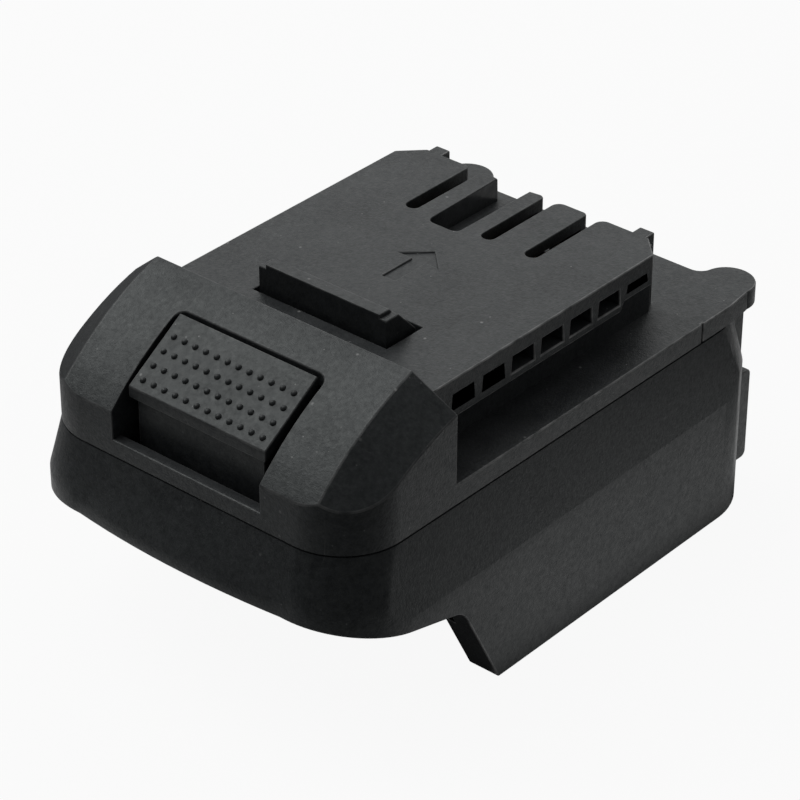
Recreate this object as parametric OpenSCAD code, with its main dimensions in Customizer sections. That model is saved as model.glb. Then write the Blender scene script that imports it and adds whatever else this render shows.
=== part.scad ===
// Slide-on battery adapter for a cordless tool: a hollow case in two shells, with a
// T-shaped tool rail on top, a battery bay below and a sprung latch at the front.
// Working frame of the modules: X across, Y from the front wall to the rear, Z up from
// the parting line. place() moves it, so that the origin lies under the middle.

/* [Case] */
// Width of the case at the parting line
rim_w = 77; // [75:0.5:82]
// Length of the lower shell at the parting line
case_l = 118.2; // [117:0.2:124]
// Plan radius of the four case corners
corner_r = 13; // [11:0.5:15]
// Thickness of the shell walls
wall = 2.4; // [2.2:0.1:2.7]
// Clearance between fixed pieces that seat in each other
fit = 0.1; // [0.05:0.01:0.15]
// Height of the locating lip that keys the two shells
lip_h = 1.4; // [1:0.1:1.6]

/* [Deck] */
// Height of the deck above the parting line
deck_h = 4.4; // [4.2:0.1:5]
// Distance of the deck's rear edge from the lower shell's rear wall
deck_setback = 2.9; // [2.6:0.1:3.2]
// Radius of the round ears at the deck's rear corners
ear_r = 5.4; // [4.5:0.1:6]
// How far the ears stand behind the deck's rear edge
ear_reach = 6.3; // [5.5:0.1:7]
// How far the ears' flanks lie inside the rim
ear_inset = 0.7; // [0.3:0.1:1.2]
// Radius of the hollow between each ear and the deck's rear edge
ear_fillet = 3; // [2:0.1:4]
// Distance of the upright groove in the rim's sides from the front wall
seam_y = 100; // [98:0.1:102]
// Width of the groove in the rim's sides
seam_w = 0.5; // [0.4:0.05:0.6]
// Depth of the groove in the rim's sides
seam_d = 0.35; // [0.25:0.05:0.5]
// Height of the shadow gap along the parting line
parting_h = 0.4; // [0.3:0.05:0.5]
// Depth of the shadow gap along the parting line
parting_d = 0.8; // [0.6:0.1:1]

/* [Hump] */
// Height of the front wall up to the foot of the sloped face
hump_front_h = 9.5; // [9:0.1:10]
// Distance of the ridge from the front wall
ridge_y = 25.6; // [25:0.1:26.5]
// Height of the ridge
ridge_h = 25.6; // [25:0.1:26.5]
// Radius of the gently crowned sloped face
slope_r = 60; // [55:1:80]
// Distance of the hump's rear face from the front wall
hump_back = 28.1; // [27.5:0.1:29]
// Height of the hump's flanks at their rear edge
flank_h = 18.8; // [18:0.1:19.5]
// Tilt of the hump's side bevels, down towards the sides
bevel_tilt = 42.2; // [41:0.1:43]
// Lean of the side bevels at their rear ends, up towards the rear
bevel_lean = 10; // [9:0.5:11]
// Radius of the gently crowned side bevels
bevel_r = 65; // [60:1:70]

/* [Tool rail] */
// Width of the rail's top plate
rail_w = 63; // [61:0.5:65]
// Height of the rail's top
rail_h = 19.8; // [19.4:0.1:20.4]
// Depth of the overhanging side band of the rail
flange_t = 8.1; // [7.8:0.1:8.6]
// Place of the step behind which the side band is shallower
step_y = 83.4; // [82.8:0.1:83.8]
// How much shallower the side band is behind its step
step_up = 1.8; // [1.4:0.1:2]
// Width of the rail's neck
neck_w = 56; // [55:0.5:57]
// Distance of the rail's rear edge from the front wall
rail_end = 97.3; // [96.5:0.1:98]
// Size of the cut-off rear corners of the rail
rail_corner = 4.5; // [4:0.1:5]
// Width of each upright stop rib behind the rail's rear edge
rib_w = 3.4; // [3:0.1:4]
// How far the ribs stand behind the rail's rear edge
rib_reach = 2.4; // [2:0.1:3]
// Distance of the ribs' middles from the centre line
rib_x = 24.9; // [24:0.1:25.2]
// Length of the sunk arrow that shows which way the rail slides on
arrow_l = 13; // [10:0.5:14]
// Width of the arrow's head
arrow_w = 9; // [7:0.5:10]
// Depth of the arrow
arrow_d = 0.4; // [0.3:0.05:0.5]
// Distance of the arrow's middle from the front wall
arrow_y = 61; // [58:0.5:63]

/* [Rail slots] */
// Width of the three contact slots
slot_w = 2.9; // [2.6:0.1:3.2]
// Length of the contact slots
slot_l = 20.1; // [19:0.1:20.5]
// Places of the contact slots across the rail: positive, signal, negative
slot_x = [-14.6, 3.9, 14.3]; // [-15:0.1:15]
// Height of the contact slots' floor
slot_floor = 9.4; // [9:0.1:10]
// Width of the wide guide slot
guide_w = 7.2; // [6.8:0.1:7.4]
// Length of the wide guide slot
guide_l = 21.7; // [20.5:0.1:22.5]
// Depth of the wide guide slot
guide_d = 4.6; // [4.4:0.1:5]
// Place of the wide guide slot across the rail
guide_x = -5.1; // [-5.3:0.1:-4.9]
// Radii of the contact slots' rounded mouths: left side, right side
slot_mouth = [1.2, 2]; // [0.8:0.1:2.2]
// Radii of the guide slot's rounded mouth: left side, right side
guide_mouth = [1, 0.8]; // [0.6:0.1:1.4]

/* [Side windows] */
// Number of windows along each side of the rail
window_count = 7; // [5:1:7]
// Distance from one window to the next
window_pitch = 8.36; // [8:0.02:8.5]
// Length of each window
window_l = 6.5; // [6:0.1:7]
// Height of each window
window_h = 3.7; // [3.2:0.1:4]
// Height of the low window at the rear
window_low_h = 2.2; // [1.8:0.1:2.4]
// Radius of the windows' upper corners
window_r = 0.9; // [0.6:0.1:1]
// Depth of the windows
window_d = 4.3; // [3.5:0.1:4.5]
// Land between the rail's top and the windows
window_land = 2.8; // [2.4:0.1:3.2]
// Distance of the first window from the front wall
window_start = 34.7; // [34:0.1:35.5]

/* [Latch] */
// How far the latch travels when it is pressed
latch_travel = 6; // [5.8:0.1:6.2]
// Width of the thumb pad
pad_w = 32.8; // [31:0.1:33.4]
// Gap between the thumb pad and its opening
pad_gap = 1.3; // [1:0.1:1.6]
// Distance of the pad's front edge from the front wall
pad_front = 3.2; // [3:0.1:3.6]
// Height of the pad's front edge
pad_front_h = 14.1; // [13.8:0.1:14.5]
// Distance of the pad's rear edge from the front wall
pad_back = 16.9; // [16.5:0.1:17.2]
// Height of the pad's rear edge
pad_back_h = 22.9; // [22.5:0.1:23.3]
// Thickness of the pad's front lip
pad_lip = 2.4; // [2:0.1:2.8]
// Height of the lip that is left under the pad's opening
sill_h = 3.7; // [3.4:0.1:4]
// Height of the underside of the button's body
button_base = 4.6; // [4.4:0.1:5]
// Height of the lower edge of the apron under the button's front
apron_base = 0.8; // [0.6:0.1:1.2]
// Rows of grip dots up the pad
dot_rows = 4; // [3:1:4]
// Grip dots in each row
dot_columns = 12; // [8:1:12]
// Distance between the dots of a row
dot_pitch = 2.6; // [2.4:0.05:2.65]
// Distance between the rows, along the pad
row_pitch = 3.2; // [3:0.05:3.4]
// Height of a grip dot above the pad
dot_h = 0.5; // [0.35:0.05:0.55]
// Width of the tongue
tongue_w = 30.4; // [29:0.1:31]
// Distance of the tongue's front face from the front wall
tongue_front = 36.2; // [35.8:0.1:36.6]
// How far the tongue stands above the rail
tongue_up = 5.6; // [5.2:0.1:5.7]
// Length of the tongue's flat top
tongue_flat = 2.7; // [2.4:0.1:3]
// Length of the tongue, with its ramp
tongue_l = 8.2; // [7.8:0.1:8.6]
// Width of the lowered shoulders at the tongue's ends
shoulder_w = 1.5; // [1.2:0.1:2]
// Width of the arm between the button and the tongue
arm_w = 26; // [24:0.5:27]
// Height of the arm's underside
arm_base = 7; // [6.8:0.1:7.4]
// Thickness of the arm
arm_t = 5; // [4.5:0.1:5.2]
// Diameter of the two guide posts
guide_post_d = 5; // [4.5:0.1:5.5]
// Running clearance between the arm and its guide posts
run_fit = 0.1; // [0.06:0.01:0.1]

/* [Springs] */
// Outer diameter of the latch springs
spring_d = 7; // [6.6:0.1:7.4]
// Diameter of the spring wire
spring_wire = 0.8; // [0.7:0.05:0.9]
// Turns of each spring
spring_turns = 6; // [5:1:7]
// Distance of the springs from the centre line
spring_x = 9; // [8.5:0.1:9.5]
// Distance of the springs from the front wall
spring_y = 10.4; // [10:0.1:11]
// Gap left at each end of a spring
spring_gap = 0.3; // [0.2:0.05:0.4]

/* [Lower shell] */
// How far the lower shell flares out
flare = 2.7; // [2.4:0.1:3]
// Depth of the flare at the front and rear
flare_h = 10.4; // [9.5:0.1:11]
// Depth of the flare along the sides
side_flare_h = 14.7; // [14:0.1:15.5]
// Extra bulge in the middle of the front wall
front_bow = 1.9; // [1.5:0.1:2.2]
// Height of the parting line above the skirts' feet
skirt_h = 41; // [40:0.5:44]
// Depth of the front wall below the parting line
front_drop = 13.7; // [13.5:0.1:14.2]
// Fall of the front skirt's lower edge for each millimetre rearwards
front_fall = 0.25; // [0.22:0.01:0.28]
// Distance of the side notch's corner from the front wall
notch_y = 27.1; // [26:0.1:28]
// Radius of the side notch's top
notch_r = 5.4; // [4.5:0.1:6]
// Distance of the skirts' front feet from the front wall
foot_y = 37.4; // [36.5:0.1:38.5]

/* [Battery bay] */
// Depth of the bay's ceiling below the parting line
ceiling = 13; // [12.8:0.1:13.2]
// Thickness of the floor between the bay and the inside
floor_t = 2.5; // [2.3:0.1:2.7]
// Thickness of the rails along the bay's sides
ledge_t = 4.6; // [4.2:0.1:5]
// Height of the groove in each ledge
groove_h = 6; // [5.5:0.1:6.5]
// Depth of the groove in each ledge
groove_d = 2.4; // [2:0.1:2.6]
// Depth of the groove's top below the bay's ceiling
groove_drop = 8; // [7:0.1:9]
// Width of the pads on the rear corners
rear_pad_w = 13.6; // [12:0.1:15]
// Distance of the pads' outer edges from the centre line
rear_pad_x = 35.6; // [35:0.1:36]
// How far the pads stand behind the rear wall at the parting line
rear_pad_reach = 3.2; // [2.9:0.1:3.3]
// Top of the rear pads below the parting line
rear_pad_top = 16.3; // [15.5:0.1:17]
// Height of the rear pads
rear_pad_h = 20.3; // [19:0.1:21]
// Radius of the rear pads' upper and lower edges
rear_pad_r = 1.3; // [1:0.1:1.5]

/* [Contacts] */
// Thickness of the tool clips' sheet metal
clip_t = 0.8; // [0.6:0.05:0.9]
// Inner width of each tool clip
clip_gap = 3.2; // [3:0.1:3.4]
// Length of each tool clip
clip_l = 15; // [14:0.1:16]
// Height of each tool clip
clip_h = 11.2; // [10.5:0.1:11.6]
// Distance of the clips' front edge from the front wall
clip_y = 75; // [74.5:0.1:75.5]
// Thickness of the battery blades
blade_t = 1; // [0.8:0.05:1.2]
// Height of the battery blades
blade_h = 8; // [7:0.1:8.5]
// Length of the blades in front of their block
blade_reach = 17; // [15:0.1:18]
// Places of the battery blades across the bay: positive, negative, signal
blade_x = [-8, 0, 8]; // [-8.5:0.1:8.5]
// Width of the blade block
block_w = 34; // [32:0.5:36]
// Length of the blade block
block_l = 15; // [14:0.1:15.6]
// Depth of the blade block
block_h = 12; // [11.5:0.1:13]
// Distance of the blade block's front face from the front wall
block_y = 97; // [96.5:0.1:97.5]
// Width of the clip carrier
carrier_w = 34; // [33.6:0.1:34.4]
// Length of the clip carrier
carrier_l = 22; // [21:0.1:22.4]
// Height of the clip carrier
carrier_h = 8; // [7.6:0.1:8.4]
// Distance of the clip carrier's front face from the front wall
carrier_y = 70; // [69.5:0.1:70.5]

/* [Circuit board] */
// Width of the circuit board
board_w = 32; // [31:0.5:33]
// Length of the circuit board
board_l = 28; // [26:0.5:28]
// Thickness of the circuit board
board_t = 1.6; // [1.2:0.1:2]
// Gap between the circuit board and the carrier's posts
board_gap = 2; // [1.5:0.1:2.5]
// Height of the board's standoffs
standoff_h = 3; // [2.5:0.1:3.5]
// Diameter of the capacitor
capacitor_d = 8; // [6:0.1:8.5]
// Height of the capacitor
capacitor_h = 9; // [7:0.1:10]

/* [Fasteners and wires] */
// Thread diameter of the case screws
case_screw_d = 3; // [2.8:0.1:3.2]
// Thread diameter of the small screws
small_screw_d = 2.2; // [2:0.1:2.4]
// Diameter of the posts that the case screws go through
post_d = 8; // [7.6:0.1:8.2]
// Place of the front case screws: across, and from the front wall
front_post = [28.5, 13.5]; // [13:0.1:29]
// Distance of the rear case screws from the front wall
rear_post_y = 84; // [83.5:0.1:84.5]
// Diameter of the power wires
wire_d = 3; // [2.4:0.1:3.1]
// Diameter of the signal wire
signal_wire_d = 1.6; // [1.2:0.1:1.8]

/* [Hidden] */
$fn = 64;

// Cuts run this far past the faces that they open
over = 1;
// Larger than the whole case, for half-space cuts
big = 200;

rim_half = rim_w / 2;
deck_l = case_l - deck_setback;
deck_under = deck_h - wall;
rail_half = rail_w / 2;
neck_half = neck_w / 2;
rail_under = rail_h - wall;
flange_z = rail_h - flange_t;
ear_x = rim_half - ear_inset - ear_r;
ear_y = deck_l + ear_reach - ear_r;
ear_start = ear_y - 1.4 * ear_r;
// The hollow's circle runs this far into the ear's, so that they cross cleanly
fillet_cross = 0.05;
fillet_reach = ear_r + ear_fillet - fillet_cross;
fillet_x = ear_x - sqrt(pow(fillet_reach, 2) - pow(deck_l + ear_fillet - ear_y, 2));
floor_top = floor_t - ceiling;
front_y = -flare - front_bow;
rear_y = max(deck_l + ear_reach, case_l + rear_pad_reach);
mid_y = (front_y + rear_y) / 2;

// The sloped face is an arc through its front edge and the ridge
slope_chord = [ridge_y, ridge_h - hump_front_h];
slope_half = norm(slope_chord) / 2;
slope_dip = sqrt(slope_r * slope_r - slope_half * slope_half);
slope_in = [slope_chord.y, -slope_chord.x] / norm(slope_chord);
slope_centre = [0, hump_front_h] + slope_chord / 2 + slope_in * slope_dip;

// The arm slides on guide posts, and the tongue comes up through its window
arm_top = arm_base + arm_t;
tongue_top = rail_h + tongue_up;
tongue_back = tongue_front + tongue_l;
tongue_gap = 0.8;
guide_post = [8, hump_back];
pad_tilt = atan2(pad_back_h - pad_front_h, pad_back - pad_front);
pad_mid = [(pad_front + pad_back) / 2, (pad_front_h + pad_back_h) / 2];
button_front = pad_front + 1;
button_back = pad_back - 0.4;
button_w = pad_w - 2.4;
peg_d = spring_d - 2 * spring_wire - 1.4;
peg_l = 3;
pad_thick = 4.9;
apron_t = 1.6;
dot_r = 0.62;
dots_down = 1.3;
shoulder_drop = 0.8;
ramp_drop = 0.2;
// The latch stops this far short of the ribs above its arm and the collars below it
stop_gap = 0.3;
stop_l = 3.5;
stop_side = 0.5;
collar_d = guide_post_d + 3;
guide_post_rise = 2.5;

// How far the step's face leans rearwards for each millimetre of its height
step_lean = 0.5;
slot_round = slot_w / 2 - 0.05;
guide_round = 1.5;
arrow_head_l = arrow_w / 2;
arrow_shaft = arrow_w / 3;
opening_round = 2;
lip_t = 1.2;
lip_root = 1;
ear_post_setback = 0.4;
// The notch's circle runs this far past its straight edges, so that they cross cleanly
notch_cross = 0.02;
bay_half = rim_half + flare - wall;
bay_rear = case_l + flare - wall;
inside_rear = case_l - wall;
ledge_half = bay_half - ledge_t;
// The rear bosses run this far into the rail's neck
boss_sink = 0.6;
rear_post = [neck_half - wall + boss_sink - post_d / 2, rear_post_y];
case_head_h = 2.4;
case_head_d = 5.8;
case_seat = -9.2;
case_thread = 8.4;
small_head_d = 4.2;
small_head_h = 1.6;
// How deep the small screws bite, and the plastic left under their heads
small_bite = 6;
board_bite = 3.5;
head_seat = 4;
boss_h = 6;
boss_d = 6.4;
board_edge_in = 3.5;
carrier_post_x = [guide_x, slot_x[1] + 5.2];
carrier_post_y = carrier_y + carrier_l / 2;
carrier_post_d = 6;
board_y = carrier_post_y - carrier_post_d / 2 - board_gap - board_l;
clip_base = carrier_h - 3;
clip_half = clip_gap / 2 + clip_t;
pinch_r = 1.1;
tail_drop = 2;
tail_l = 2;
tail_y = clip_y + clip_l - tail_l;
blade_top = -ceiling - 3;
blade_tail_y = block_y + 2;
blade_tail_l = 4;
blade_tip = 1.5;
blade_tail_z = floor_top + 5.5;
block_screw = [block_w / 2 - 4, block_y + 8];
board_z = floor_top + standoff_h;
board_top = board_z + board_t;
// Places of the parts on the board: across, and from its front edge
transistor_at = [5, 12];
chip_at = [-7, 18];
capacitor_at = [-8, 11];
board_hole = [board_w / 2 - board_edge_in, board_y + board_edge_in];
wire_z = blade_tail_z - 2.2;

module place() translate([0, -mid_y, skirt_h]) children();
module along_x(width) rotate([90, 0, 90]) linear_extrude(width, center = true) children();
module along_y(start, end) translate([0, end, 0]) rotate([90, 0, 0]) linear_extrude(end - start) children();
module both_sides() for (side = [0, 1]) mirror([side, 0, 0]) children();
module at_posts() both_sides() for (post = [front_post, rear_post]) translate(post) children();

// Plan of the upper rim, drawn in by the inset
module rim_plan(inset) {
    corner_x = rim_half - corner_r;
    translate([-rim_half + inset, corner_r]) square([rim_w - 2 * inset, ear_start - corner_r]);
    translate([-corner_x, inset]) square([2 * corner_x, corner_r]);
    for (side = [-1, 1]) translate([side * corner_x, corner_r]) circle(corner_r - inset);
    polygon([
        [-rim_half + inset, ear_start - over], [rim_half - inset, ear_start - over],
        [rim_half - inset, ear_start], [rim_half - ear_inset - inset, deck_l - inset],
        [-rim_half + ear_inset + inset, deck_l - inset], [-rim_half + inset, ear_start]
    ]);
}

// Plan of one ear, with the hollow that leads into it
module ear_plan() {
    translate([ear_x, ear_y]) circle(ear_r);
    difference() {
        polygon([
            [fillet_x, deck_l - over], [ear_x, deck_l - over], [ear_x, ear_y],
            [fillet_x, deck_l + ear_fillet]
        ]);
        translate([fillet_x, deck_l + ear_fillet]) circle(ear_fillet);
    }
}

// Plan of the lower shell at the parting line, grown by the spread
module case_plan(spread) {
    corner_x = rim_half - corner_r;
    translate([-rim_half - spread, corner_r]) square([rim_w + 2 * spread, case_l - 2 * corner_r]);
    translate([-corner_x, -spread]) square([2 * corner_x, case_l + 2 * spread]);
    for (side = [-1, 1]) for (end = [corner_r, case_l - corner_r])
        translate([side * corner_x, end]) circle(corner_r + spread);
}

// Side view of the hump, drawn in by the inset
module hump_profile(inset) {
    intersection() {
        polygon([
            [-over, -over], [hump_back - inset, -over], [hump_back - inset, flank_h - inset],
            [ridge_y - inset / 2, ridge_h - inset], [-over, ridge_h - inset]
        ]);
        translate(slope_centre) circle(slope_r - inset, $fn = 200);
    }
}

// The barrel a side bevel lies on, through the rear end of the flank's upper edge
module bevel_barrel(inset) {
    translate([rim_half, hump_back, flank_h]) rotate([0, bevel_tilt, 0])
        translate([0, bevel_r * sin(bevel_lean), -bevel_r * cos(bevel_lean)])
            along_x(big) circle(bevel_r - inset, $fn = 200);
}

module hump_solid(inset) {
    intersection() {
        translate([0, 0, -over]) linear_extrude(ridge_h + 2 * over) rim_plan(inset);
        along_x(rim_w) hump_profile(inset);
        bevel_barrel(inset);
        mirror([1, 0, 0]) bevel_barrel(inset);
    }
}

module rail_plan() {
    polygon([
        [-rail_half, ridge_y - over], [rail_half, ridge_y - over], [rail_half, rail_end - rail_corner],
        [rail_half - rail_corner, rail_end], [-rail_half + rail_corner, rail_end],
        [-rail_half, rail_end - rail_corner]
    ]);
}

// A slot that is open at the rail's rear edge, with a rounded front end and mouth
module slot_plan(width, length, end_r, mouth) {
    front = rail_end - length;
    translate([-width / 2, front + end_r]) square([width, length + rib_reach]);
    translate([-width / 2 + end_r, front]) square([width - 2 * end_r, length]);
    for (side = [-1, 1]) {
        mouth_r = mouth[(side + 1) / 2];
        translate([side * (width / 2 - end_r), front + end_r]) circle(end_r);
        difference() {
            translate([side * (width + mouth_r) / 2, rail_end - mouth_r / 2]) square(mouth_r, center = true);
            translate([side * (width / 2 + mouth_r), rail_end - mouth_r]) circle(mouth_r);
        }
    }
}

module contact_slots() {
    for (x = slot_x) translate([x, 0, slot_floor])
        linear_extrude(rail_h) slot_plan(slot_w, slot_l, slot_round, slot_mouth);
    translate([guide_x, 0, rail_h - guide_d])
        linear_extrude(rail_h) slot_plan(guide_w, guide_l, guide_round, guide_mouth);
}

// Arrow sunk into the rail's top, pointing the way that the rail slides on
module slide_arrow() {
    neck = arrow_l / 2 - arrow_head_l;
    translate([0, arrow_y, rail_h - arrow_d]) linear_extrude(arrow_d + over) polygon([
        [-arrow_shaft / 2, -arrow_l / 2], [arrow_shaft / 2, -arrow_l / 2], [arrow_shaft / 2, neck],
        [arrow_w / 2, neck], [0, arrow_l / 2], [-arrow_w / 2, neck], [-arrow_shaft / 2, neck]
    ]);
}

// Side view of one window, with rounded upper corners
module window_profile(height) {
    square([window_l, height - window_r]);
    translate([window_r, 0]) square([window_l - 2 * window_r, height]);
    for (y = [window_r, window_l - window_r]) translate([y, height - window_r]) circle(window_r);
}

module side_windows() {
    middle_x = rail_half - (window_d - over) / 2;
    both_sides() for (i = [0 : window_count - 1]) {
        height = i == window_count - 1 ? window_low_h : window_h;
        translate([middle_x, window_start + i * window_pitch, rail_h - window_land - height])
            along_x(window_d + over) window_profile(height);
    }
}

module rim_seams() {
    both_sides() translate([rim_half - seam_d, seam_y - seam_w / 2, -over])
        cube([seam_d + over, seam_w, deck_h + 2 * over]);
}

// Shadow gap along the parting line, under everything outside the inner rim
module parting_gap() {
    translate([0, 0, -over]) linear_extrude(parting_h + over) difference() {
        translate([-big / 2, -big / 4]) square(big);
        rim_plan(parting_d);
    }
}

module pad_opening() {
    width = pad_w + 2 * pad_gap;
    back = pad_back + pad_gap;
    round_r = opening_round;
    translate([0, 0, sill_h]) linear_extrude(ridge_h) {
        translate([-width / 2, -over]) square([width, back - round_r + over]);
        translate([-width / 2 + round_r, 0]) square([width - 2 * round_r, back]);
        for (side = [-1, 1]) translate([side * (width / 2 - round_r), back - round_r]) circle(round_r);
    }
}

module tongue_opening() {
    width = tongue_w + 2 * tongue_gap;
    translate([-width / 2, tongue_front - tongue_gap, flange_z])
        cube([width, tongue_l + 2 * tongue_gap, flange_t + over]);
}

// What is cut from under the side bands behind their step
module band_step() {
    along_x(big) polygon([
        [step_y - over * step_lean, flange_z - over], [step_y + step_up * step_lean, flange_z + step_up],
        [rail_end + over, flange_z + step_up], [rail_end + over, flange_z - over]
    ]);
}

module upper_outside() {
    linear_extrude(deck_h) {
        rim_plan(0);
        for (side = [0, 1]) mirror([side, 0]) ear_plan();
    }
    intersection() {
        hump_solid(0);
        translate([-big / 2, -over, 0]) cube([big, big, big]);
    }
    translate([-neck_half, ridge_y - over, 0]) cube([neck_w, rail_end - ridge_y + over, rail_h - over]);
    difference() {
        translate([0, 0, flange_z]) linear_extrude(flange_t) rail_plan();
        band_step();
    }
    both_sides() translate([rib_x - rib_w / 2, rail_end - over, deck_h - over])
        cube([rib_w, rib_reach + over, rail_h - deck_h + over]);
}

module upper_inside() {
    translate([0, 0, -over]) linear_extrude(deck_under + over) rim_plan(wall);
    hump_solid(wall);
    translate([-neck_half + wall, hump_back - 2 * wall, -over])
        cube([neck_w - 2 * wall, rail_end - hump_back + wall, rail_under + over]);
}

// Ribs and bosses inside the upper shell: the walls of the button's well, the screw
// bosses, the floor of the guide slot and the two stops above the latch's arm
module upper_ribs() {
    well = pad_w / 2 + pad_gap;
    stop_x = guide_post.x + guide_post_d / 2 + stop_gap;
    intersection() {
        hump_solid(0);
        union() {
            both_sides() translate([well, 0, deck_under]) cube([wall, pad_back + pad_gap, ridge_h]);
            both_sides() translate([front_post.x, front_post.y - wall / 2, deck_under])
                cube([rim_half - front_post.x, wall, hump_front_h]);
            both_sides() translate(front_post) cylinder(h = hump_front_h + wall, d = post_d);
        }
    }
    both_sides() translate(rear_post) cylinder(h = rail_under + over, d = post_d);
    translate([guide_x - guide_w / 2 - wall, rail_end - guide_l - wall, rail_h - guide_d - wall])
        cube([guide_w + 2 * wall, guide_l + wall, guide_d + wall - over]);
    both_sides() translate([stop_x, guide_post.y + guide_post_d / 2 + stop_side, arm_top + stop_gap])
        cube([wall, stop_l, rail_under - arm_top + over]);
}

module upper_shell() {
    color("#2b2c2d") place() difference() {
        union() {
            difference() {
                upper_outside();
                upper_inside();
            }
            upper_ribs();
        }
        contact_slots();
        slide_arrow();
        side_windows();
        rim_seams();
        parting_gap();
        pad_opening();
        tongue_opening();
        at_posts() translate([0, 0, -over]) cylinder(h = case_thread + fit + over, d = case_screw_d + 2 * fit);
    }
}

// The flared and skirted block that the lower shell is cut from
module lower_outside() {
    corner_x = rim_half - corner_r;
    bow_half = corner_x - over;
    bow_r = (bow_half * bow_half + front_bow * front_bow) / (2 * front_bow);
    spread = flare + front_bow;
    intersection() {
        union() {
            for (side = [-1, 1]) for (end = [corner_r, case_l - corner_r])
                translate([side * corner_x, end, -flare_h])
                    cylinder(h = flare_h, r1 = corner_r + flare, r2 = corner_r);
            along_y(corner_r, case_l - corner_r) polygon([
                [-rim_half, 0], [rim_half, 0], [rim_half + flare, -flare_h], [-rim_half - flare, -flare_h]
            ]);
            along_x(2 * corner_x) polygon([
                [0, 0], [case_l, 0], [case_l + flare, -flare_h], [-flare, -flare_h]
            ]);
            translate([0, 0, -skirt_h]) linear_extrude(skirt_h - flare_h) case_plan(flare);
            intersection() {
                translate([0, bow_r - spread, 0]) union() {
                    translate([0, 0, -flare_h])
                        cylinder(h = flare_h, r1 = bow_r, r2 = bow_r - spread, $fn = 360);
                    translate([0, 0, -skirt_h]) cylinder(h = skirt_h - flare_h, r = bow_r, $fn = 360);
                }
                translate([-corner_x, -2 * spread, -skirt_h]) cube([2 * corner_x, corner_r, skirt_h]);
            }
        }
        along_y(-big / 2, big) polygon([
            [-rim_half, 0], [rim_half, 0], [rim_half + flare, -side_flare_h], [rim_half + flare, -skirt_h],
            [-rim_half - flare, -skirt_h], [-rim_half - flare, -side_flare_h]
        ]);
    }
    rear_pads();
}

// Side view of a rear pad, with its rounded edges
module rear_pad_profile() {
    depth = wall + rear_pad_reach;
    low = -rear_pad_top - rear_pad_h;
    translate([inside_rear, low]) square([depth - rear_pad_r, rear_pad_h]);
    translate([inside_rear, low + rear_pad_r]) square([depth, rear_pad_h - 2 * rear_pad_r]);
    for (z = [low + rear_pad_r, -rear_pad_top - rear_pad_r])
        translate([inside_rear + depth - rear_pad_r, z]) circle(rear_pad_r);
}

// Raised pads on the rear corners, and the narrower posts under the deck's ears
module rear_pads() {
    both_sides() {
        translate([rear_pad_x - rear_pad_w / 2, 0, 0]) along_x(rear_pad_w) rear_pad_profile();
        translate([rear_pad_x - rear_pad_w, inside_rear - corner_r, -rear_pad_top])
            cube([rear_pad_w, corner_r + wall - ear_post_setback, rear_pad_top]);
    }
}

// What is cut away below the front wall and in front of the skirts
module front_clearance() {
    fall = [1, -front_fall] / norm([1, front_fall]);
    corner = [notch_y, -front_drop - front_fall * (notch_y + flare)];
    foot = [foot_y, -skirt_h];
    drop = (foot - corner) / norm(foot - corner);
    half_angle = acos(-fall * drop) / 2;
    reach = notch_r / tan(half_angle);
    inward = (drop - fall) / norm(drop - fall);
    along_x(big) {
        polygon([
            corner - fall * (notch_y + big / 4), corner - fall * reach, corner + drop * reach,
            foot, [foot_y, -skirt_h - over], [-big / 4, -skirt_h - over]
        ]);
        translate(corner + inward * notch_r / sin(half_angle)) circle(notch_r + notch_cross);
    }
}

// The bay between the skirts, with a grooved ledge along each side
module bay_space() {
    difference() {
        translate([0, 0, -skirt_h - over])
            linear_extrude(skirt_h + over - ceiling) case_plan(flare - wall);
        both_sides() difference() {
            translate([ledge_half, -big / 4, -skirt_h - 2 * over])
                cube([ledge_t + over, big, skirt_h]);
            translate([ledge_half - over, -big / 2, -ceiling - groove_drop - groove_h])
                cube([groove_d + over, big / 2 + bay_rear - 4 * wall, groove_h]);
        }
    }
}

module lower_inside() {
    translate([0, 0, floor_top]) linear_extrude(ceiling) case_plan(-wall);
}

// Lip that stands inside the upper shell's walls
module locating_lip() {
    translate([0, 0, -2 * lip_h]) linear_extrude(2 * lip_h) difference() {
        rim_plan(wall - lip_root);
        rim_plan(wall + fit + lip_t);
    }
    linear_extrude(lip_h) difference() {
        rim_plan(wall + fit);
        rim_plan(wall + fit + lip_t);
    }
    translate([-rim_half + corner_r, deck_l - 2 * wall, -wall])
        cube([rim_w - 2 * corner_r, 2 * wall + over, wall]);
}

// Posts and seats on the lower shell's floor
module lower_ribs() {
    root = floor_top - over;
    at_posts() translate([0, 0, root]) cylinder(h = -root, d = post_d);
    both_sides() {
        translate([guide_post.x, guide_post.y, root]) {
            cylinder(h = arm_top + guide_post_rise - root, d = guide_post_d);
            cylinder(h = arm_base - latch_travel - stop_gap - root, d = collar_d);
        }
        translate([spring_x, spring_y, root]) cylinder(h = over + peg_l, d = peg_d);
        translate([block_screw.x, block_screw.y, root]) cylinder(h = over + boss_h, d = boss_d);
        translate([board_hole.x, board_hole.y, root]) cylinder(h = over + standoff_h, d = boss_d);
        translate([board_w / 4, board_y + board_l - board_edge_in, root])
            cylinder(h = over + standoff_h, d = boss_d);
    }
    for (x = carrier_post_x) translate([x, carrier_post_y, root]) cylinder(h = -root, d = carrier_post_d);
}

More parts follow.
